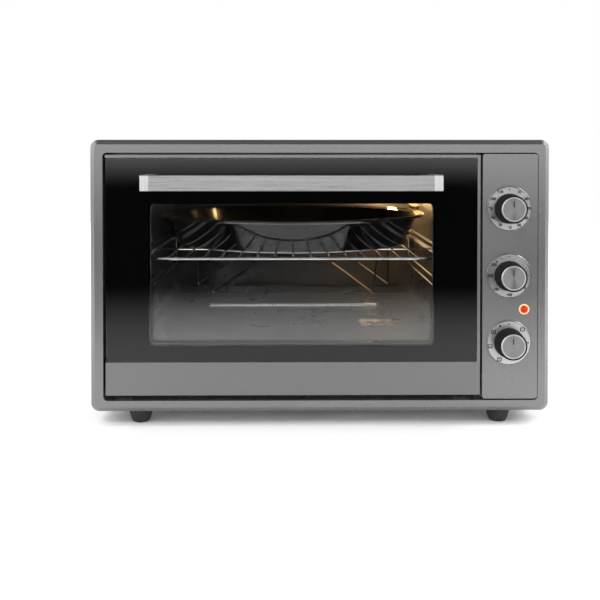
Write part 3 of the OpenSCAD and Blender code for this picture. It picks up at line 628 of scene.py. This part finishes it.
def door():
    keep(GLASS, "door_glass_outer", soft=0.6 * MM)
    keep(INNER_GLASS, "door_glass_inner")
    keep(BLACK_PLASTIC, "window_spacer")
    keep(CAVITY, "door_frame")
    keep(PAINT, "door_top_trim", "door_side_trim", soft=0.4 * MM)
    keep(STRIP_PAINT, "door_bottom_strip", soft=0.7 * MM)
    keep(ZINC, "handle_screws")
    glass, spacer = Box("door_glass_outer"), Box("window_spacer")
    lap, edge = 8 * MM, 0.8 * MM
    outer, inner = (rounded_outline(box.lo.x + margin, box.hi.x - margin,
                                    box.lo.z + margin, box.hi.z - margin, corner)
                    for box, margin, corner in ((glass, edge, 1 * MM), (spacer, lap, 6 * MM)))
    mesh = frame_plate("glass_border_print", outer, inner, glass.lo.y - 0.08 * MM, glass.lo.y - 0.02 * MM)
    add_object("glass_border_print", mesh, PRINT, "door")
    y, bead_r = Box("door_glass_inner").lo.y - 0.9 * MM, 0.8 * MM
    wires("window_bead", [([(x, y, z) for x, z in inner], True, 1)], SEAL, "door", bead_r)


def handle():
    keep(HANDLE_STEEL, "handle_bar", soft=0.5 * MM)
    keep(POST_STEEL, "handle_posts", soft=0.9 * MM)


# ---------- Controls ----------

def on_ring(x, z, ring, clock):
    """Point on a ring round x and z, at an angle in degrees clockwise from the top."""
    turn = math.radians(90 - clock)
    return x + ring * math.cos(turn), z + ring * math.sin(turn)


def dial_mark(points, faces, outline, x, z, y):
    """Adds one flat stroke to a mesh being made: an outline in millimetres, put on the dial."""
    start = len(points)
    points += [(x + u * MM, y, z + v * MM) for u, v in outline]
    faces.append(tuple(range(start, len(points))))


def bar(left, right, low, high):
    """Outline of a straight stroke, in millimetres from the middle of its sign."""
    return [(left, low), (right, low), (right, high), (left, high)]


def box_sign(w, h, line):
    """Four strokes of an outlined rectangle."""
    return [bar(-w, w, -h, line - h), bar(-w, w, h - line, h),
            bar(-w, line - w, -h, h), bar(w - line, w, -h, h)]


def disc_sign(r, sides=20):
    turns = [2 * math.pi * k / sides for k in range(sides)]
    return [[(r * math.cos(turn), r * math.sin(turn)) for turn in turns]]


BAR_TOP = [bar(-1.2, 1.2, 0.3, 0.9)]
BAR_LOW = [bar(-1.2, 1.2, -0.9, -0.3)]
CROSS = [bar(-0.35, 0.35, -1.1, 1.1), bar(-1.1, 1.1, -0.35, 0.35)]
POINTER = [[(-1.1, -0.8), (1.1, -0.8), (0, 1.3)]]
DASH = [bar(-0.9, 0.9, -0.3, 0.3)]
OVEN_SIGN = box_sign(2.7, 2.4, 0.9)
# Signs and numbers of each dial, by their angle in degrees clockwise from the top.
SIGNS = {
    "function": {0: POINTER, 45: OVEN_SIGN + BAR_TOP, 90: disc_sign(0.9), 210: OVEN_SIGN + BAR_TOP + BAR_LOW,
                 260: OVEN_SIGN + BAR_LOW, 305: OVEN_SIGN + CROSS, 332: disc_sign(1.2)},
    "temperature": {0: disc_sign(0.8), 90: DASH, 318: disc_sign(1.1), 335: DASH},
    "timer": {0: POINTER},
}
NUMBERS = {
    "function": {},
    "temperature": {130: "60", 180: "100", 225: "150", 270: "200", 305: "250"},
    "timer": {30 * k: str(10 * k) for k in range(1, 12)},
}


def dial_numbers(name, labels, x, z, y, ring, height):
    """Upright numbers round a dial, as flat meshes."""
    for clock, label in labels.items():
        mid_x, mid_z = on_ring(x, z, ring, clock)
        curve = bpy.data.curves.new(f"{name}_{label}_text", "FONT")
        curve.body = label
        curve.align_x, curve.align_y = "CENTER", "CENTER"
        curve.size = height
        curve.extrude = 0.02 * MM
        curve.offset = 0.22 * MM
        text = bpy.data.objects.new(curve.name, curve)
        bpy.context.scene.collection.objects.link(text)
        mesh = bpy.data.meshes.new_from_object(text)
        bpy.data.objects.remove(text)
        for vertex in mesh.vertices:
            u, v, w = vertex.co
            vertex.co = (mid_x + u, y - w, mid_z + v)
        add_object(f"{name}_number_{clock}", mesh, KNOB_PLASTIC, "chassis")


def dial(name, knob_box):
    """Brushed aluminium dial plate with its signs, and a dark ring of painted shade over the plate's rim."""
    plates = Box("dial_plates")
    x, z = knob_box.mid.x, knob_box.mid.z
    r, t = plates.size.x / 2, plates.size.y
    metal = turned_metal(name + "_dial_metal", grey(0.42), grey(0.6), 0.26, x, z, turn=0.25, groove=0.6)
    hub, dish = 6 * MM, t - 0.15 * MM
    profile = [(r, 0), (r, t - 0.5 * MM), (r - 0.5 * MM, t), (0.7 * r, dish), (hub, dish), (hub, 0)]
    mesh = lathe(name + "_dial_plate", profile, (x, plates.hi.y, z), "-y", 128)
    add_object(name + "_dial_plate", mesh, metal, "chassis", ["dial_plates"], 35)
    # A dark ring laid over the plate's rounded rim: painted shade on the rim.
    line = r - 1.5 * MM
    profile = [(r, 0), (r, 0.5 * MM), (r - 0.5 * MM, 0.95 * MM), (line, 1.0 * MM), (line, 0)]
    mesh = lathe(name + "_dial_rim_shade", profile, (x, plates.lo.y + 0.97 * MM, z), "-y", 128)
    add_object(name + "_dial_rim_shade", mesh, KNOB_PLASTIC, "chassis", [], 35)
    y = plates.lo.y - 0.03 * MM
    ring = 0.84 * r
    points, faces = [], []
    for clock, strokes in SIGNS[name].items():
        for stroke in strokes:
            dial_mark(points, faces, stroke, *on_ring(x, z, ring, clock), y)
    add_object(name + "_dial_signs", mesh_of(name + "_dial_signs", points, faces), KNOB_PLASTIC, "chassis")
    dial_numbers(name, NUMBERS[name], x, z, y, ring, 4.6 * MM)


def knob(name):
    """Dark knob with a slightly tapered side, a raised metal face and its pointer line."""
    body = name + "_dial"
    box, cap = Box(name + "_knob"), Box(name + "_knob_cap")
    x, z = box.mid.x, box.mid.z
    r, depth = box.size.x / 2, box.size.y
    front, seat = r - 1.5 * MM, cap.size.x / 2 + 0.05 * MM
    profile = [(r - 0.8 * MM, 0), (r, 0.5 * MM), (r, 1.4 * MM), (r - 0.3 * MM, 2.0 * MM),
               (front + 0.1 * MM, depth - 1.1 * MM), (front - 0.4 * MM, depth - 0.35 * MM),
               (front - 1.0 * MM, depth), (seat, depth), (seat, depth - 1.2 * MM)]
    mesh = lathe(name + "_knob_body", profile, (x, box.hi.y, z), "-y", 128)
    add_object(name + "_knob_body", mesh, KNOB_PLASTIC, body, [name + "_knob"], 35)
    face_r, lift = cap.size.x / 2, cap.size.y
    rim, pole = 1.7 * MM, 0.5 * MM
    profile = [(face_r, 0), (face_r, lift - 0.5 * MM), (face_r - 0.3 * MM, lift - 0.1 * MM),
               (face_r - 0.8 * MM, lift), (face_r - rim + 0.3 * MM, lift - 0.1 * MM),
               (face_r - rim, lift - 0.55 * MM), (pole, lift - 0.6 * MM)]
    metal = turned_metal(name + "_rim_metal", grey(0.45), grey(0.6), 0.3, x, z)
    mesh = lathe(name + "_knob_rim", profile, (x, cap.hi.y, z), "-y", 128)
    add_object(name + "_knob_rim", mesh, metal, body, [name + "_knob_cap"], 35)
    metal = turned_metal(name + "_face_metal", grey(0.2), grey(0.27), 0.36, x, z, 0.9)
    disc, sheet = face_r - rim - 0.05 * MM, 0.08 * MM
    profile = [(disc, 0), (disc, sheet), (pole, sheet)]
    mesh = lathe(name + "_knob_face", profile, (x, cap.lo.y + 0.58 * MM, z), "-y", 128)
    add_object(name + "_knob_face", mesh, metal, body, [], 35)
    half, low, high, taper = 0.8 * MM, 2.6 * MM, 9.6 * MM, 0.8
    outline = [(x - half, z + low), (x + half, z + low),
               (x + half * taper, z + high), (x - half * taper, z + high)]
    y = cap.lo.y + 0.5 * MM
    mesh = plate(name + "_pointer_line", outline, y - 0.06 * MM, y + 0.05 * MM)
    add_object(name + "_pointer_line", mesh, DARK_INK, body)
    keep(ZINC, name + "_shaft")
    dial(name, box)


def indicator():
    """Neon lamp: a cream ring with a painted glow from the lamp, and a faceted red jewel."""
    holder, lens = Box("indicator_holder"), Box("indicator_lens")
    x, z = holder.mid.x, holder.mid.z
    r, front = holder.size.x / 2, 1.6 * MM
    bore = lens.size.x / 2 + 0.05 * MM
    profile = [(r, 0), (r, front * 0.5), (r - 0.5 * MM, front * 0.9), (r - 1.1 * MM, front),
               (bore, front * 0.8), (bore, 0)]
    start = holder.lo.y + front
    mesh = lathe("indicator_ring", profile, (x, start, z), "-y", 96)
    add_object("indicator_ring", mesh, LAMP_RING, "chassis", ["indicator_holder"], 40)
    tip, facets = start - lens.lo.y, 9
    r = lens.size.x / 2
    profile = [(r, 0), (r, front * 0.9), (r * 0.78, tip * 0.62), (r * 0.45, tip * 0.88), (r * 0.05, tip)]
    mesh = lathe("indicator_jewel", profile, (x, start, z), "-y", facets)
    add_object("indicator_jewel", mesh, LAMP_RED, "chassis", ["indicator_lens"])


# ---------- Stage, light and camera ----------

def area_light(name, place, look_at, size, power, colour=(1, 1, 1)):
    data = bpy.data.lights.new(name, "AREA")
    data.shape = "RECTANGLE"
    data.size, data.size_y = size
    data.energy = power
    data.color = colour
    lamp = bpy.data.objects.new(name, data)
    lamp.location = place
    lamp.rotation_euler = (Vector(look_at) - Vector(place)).to_track_quat("-Z", "Y").to_euler()
    bpy.context.scene.collection.objects.link(lamp)
    return lamp


def stage():
    mesh = bpy.data.meshes.new("studio_floor")
    side, back = 6.0, 3.0
    corners = [(-side, FLOOR_END, 0), (side, FLOOR_END, 0), (side, back, 0), (-side, back, 0)]
    mesh.from_pydata(corners, [], [(0, 1, 2, 3)])
    floor = bpy.data.objects.new("studio_floor", mesh)
    mesh.materials.append(studio_floor("studio_floor"))
    bpy.context.scene.collection.objects.link(floor)


def world():
    """One soft dome, dark below the horizon and straight above. The camera sees plain white."""
    scene = bpy.context.scene
    scene.world = bpy.data.worlds.new("studio")
    scene.world.use_nodes = True
    tree = scene.world.node_tree
    tree.nodes.clear()
    link = tree.links.new
    way = tree.nodes.new("ShaderNodeTexCoord")
    parts = tree.nodes.new("ShaderNodeSeparateXYZ")
    link(way.outputs["Generated"], parts.inputs[0])
    strength = 0.0
    for (low_z, low), (high_z, high) in zip(DOME, DOME[1:]):
        ramp = tree.nodes.new("ShaderNodeMapRange")
        ramp.interpolation_type = "SMOOTHSTEP"
        limits = {"From Min": low_z, "From Max": high_z, "To Min": 0.0, "To Max": high - low}
        for socket, value in limits.items():
            ramp.inputs[socket].default_value = value
        link(parts.outputs["Z"], ramp.inputs["Value"])
        total = tree.nodes.new("ShaderNodeMath")
        if strength:
            link(strength, total.inputs[0])
        else:
            total.inputs[0].default_value = DOME[0][1]
        link(ramp.outputs[0], total.inputs[1])
        strength = total.outputs[0]
    dome, seen = tree.nodes.new("ShaderNodeBackground"), tree.nodes.new("ShaderNodeBackground")
    for node in (dome, seen):
        node.inputs["Color"].default_value = (1, 1, 1, 1)
    link(strength, dome.inputs["Strength"])
    path = tree.nodes.new("ShaderNodeLightPath")
    either = tree.nodes.new("ShaderNodeMixShader")
    end = tree.nodes.new("ShaderNodeOutputWorld")
    link(path.outputs["Is Camera Ray"], either.inputs[0])
    link(dome.outputs[0], either.inputs[1])
    link(seen.outputs[0], either.inputs[2])
    link(either.outputs[0], end.inputs[0])
    scene.view_settings.view_transform = "Standard"


def lights():
    area_light("left_strip", (-1.4, -0.35, 1.0), (0, -0.2, 0.25), (0.4, 0.9), 5)
    area_light("right_strip", (1.4, -0.35, 1.0), (0, -0.2, 0.25), (0.4, 0.9), 14)
    area_light("key", (-0.9, -1.5, 1.7), (0.1, -0.2, 0.2), (0.5, 0.5), 12)
    area_light("back_floor", (0, 2.4, 2.2), (0, 1.4, 0), (4.0, 1.2), 55)


def cavity_lights():
    """The oven lamp, two faint fills, the lamp's spill on the wires and its patch on the floor."""
    bulb, lens, liner = Box("lamp_bulb"), Box("lamp_lens"), Box("cavity_liner")
    data = bpy.data.lights.new("oven_lamp", "POINT")
    data.energy = 0.85
    data.shadow_soft_size = 7 * MM
    data.color = LAMP_GOLD
    lamp = bpy.data.objects.new("oven_lamp", data)
    lamp.location = (lens.lo.x - 0.03, bulb.mid.y, bulb.mid.z + 4 * MM)
    bpy.context.scene.collection.objects.link(lamp)
    roof = (liner.mid.x, liner.lo.y + 0.02, liner.hi.z - 6 * MM)
    fill = area_light("cavity_fill", roof, (liner.mid.x, liner.mid.y, liner.lo.z), (0.3, 0.02), 0.35)
    fill.visible_glossy = False
    low = (liner.mid.x, liner.lo.y + 0.142, liner.lo.z + 12 * MM)
    kick = area_light("cavity_kick", low, (liner.mid.x, low[1] + 1 * MM, liner.hi.z), (0.34, 0.27), 0.5)
    kick.data.spread = math.radians(110)
    # The spill comes from the back wall, and falls on the wires only.
    spill = (liner.mid.x + 0.116, Box("cavity_back").lo.y - 3 * MM, Box("rack_cradle").lo.z + 0.032)
    glow = area_light("lamp_spill", spill, (spill[0], 0, spill[2]), (0.1, 0.045), 0.035, SPILL_GOLD)
    lit = bpy.data.collections.new("wires_lit_by_the_lamp")
    glow.light_linking.receiver_collection = lit
    for name in ("rack_cradle_lamplit_run", "rack_cradle_wires", "rack_guide_right_wires", "wire_rack_wires"):
        lit.objects.link(bpy.data.objects[name])
    lights = [lamp, fill, kick, glow]
    # The patch is six small spots under the rack, three across and two deep.
    first_x, first_y, across, deep = liner.mid.x + 0.100, -0.053, 0.016, 0.026
    for k in range(6):
        data = bpy.data.lights.new(f"lamp_beam_{k}", "SPOT")
        data.energy, data.color, data.shadow_soft_size = 3.4, PATCH_GOLD, 0.0
        data.spot_size, data.spot_blend = math.radians(8), 0.02
        beam = bpy.data.objects.new(data.name, data)
        x, y = first_x + across * (k // 2), first_y + deep * (k % 2)
        beam.location = (x, y, Box("wire_rack").lo.z - 6 * MM)
        beam.scale = (1, 1.6, 1)
        bpy.context.scene.collection.objects.link(beam)
        lights.append(beam)
    for light in lights:
        light.visible_camera = False
        light.visible_transmission = False


def camera():
    """Nearly straight-on view from just below the oven's top, framed by a vertical lens shift."""
    data = bpy.data.cameras.new("camera")
    data.lens = 49.33
    data.sensor_width = 36.0
    data.shift_y = -0.2118
    cam = bpy.data.objects.new("camera", data)
    bezel = Box("front_bezel")
    cam.location = (Box("door_frame").mid.x, bezel.lo.y - CAMERA_GAP, bezel.lo.z + CAMERA_RISE)
    pitch, yaw = 1.0, -0.525
    cam.rotation_euler = (math.radians(90 - pitch), 0, math.radians(yaw))
    bpy.context.scene.collection.objects.link(cam)
    bpy.context.scene.camera = cam


# ---------- Build ----------

camera()
world()
stage()
lights()
casing()
feet()
cavity()
back_emboss()
floor_bead()
rack_guides()
rack()
cradle()
pan()
door()
handle()
for control in ("function", "temperature", "timer"):
    knob(control)
indicator()
cavity_lights()
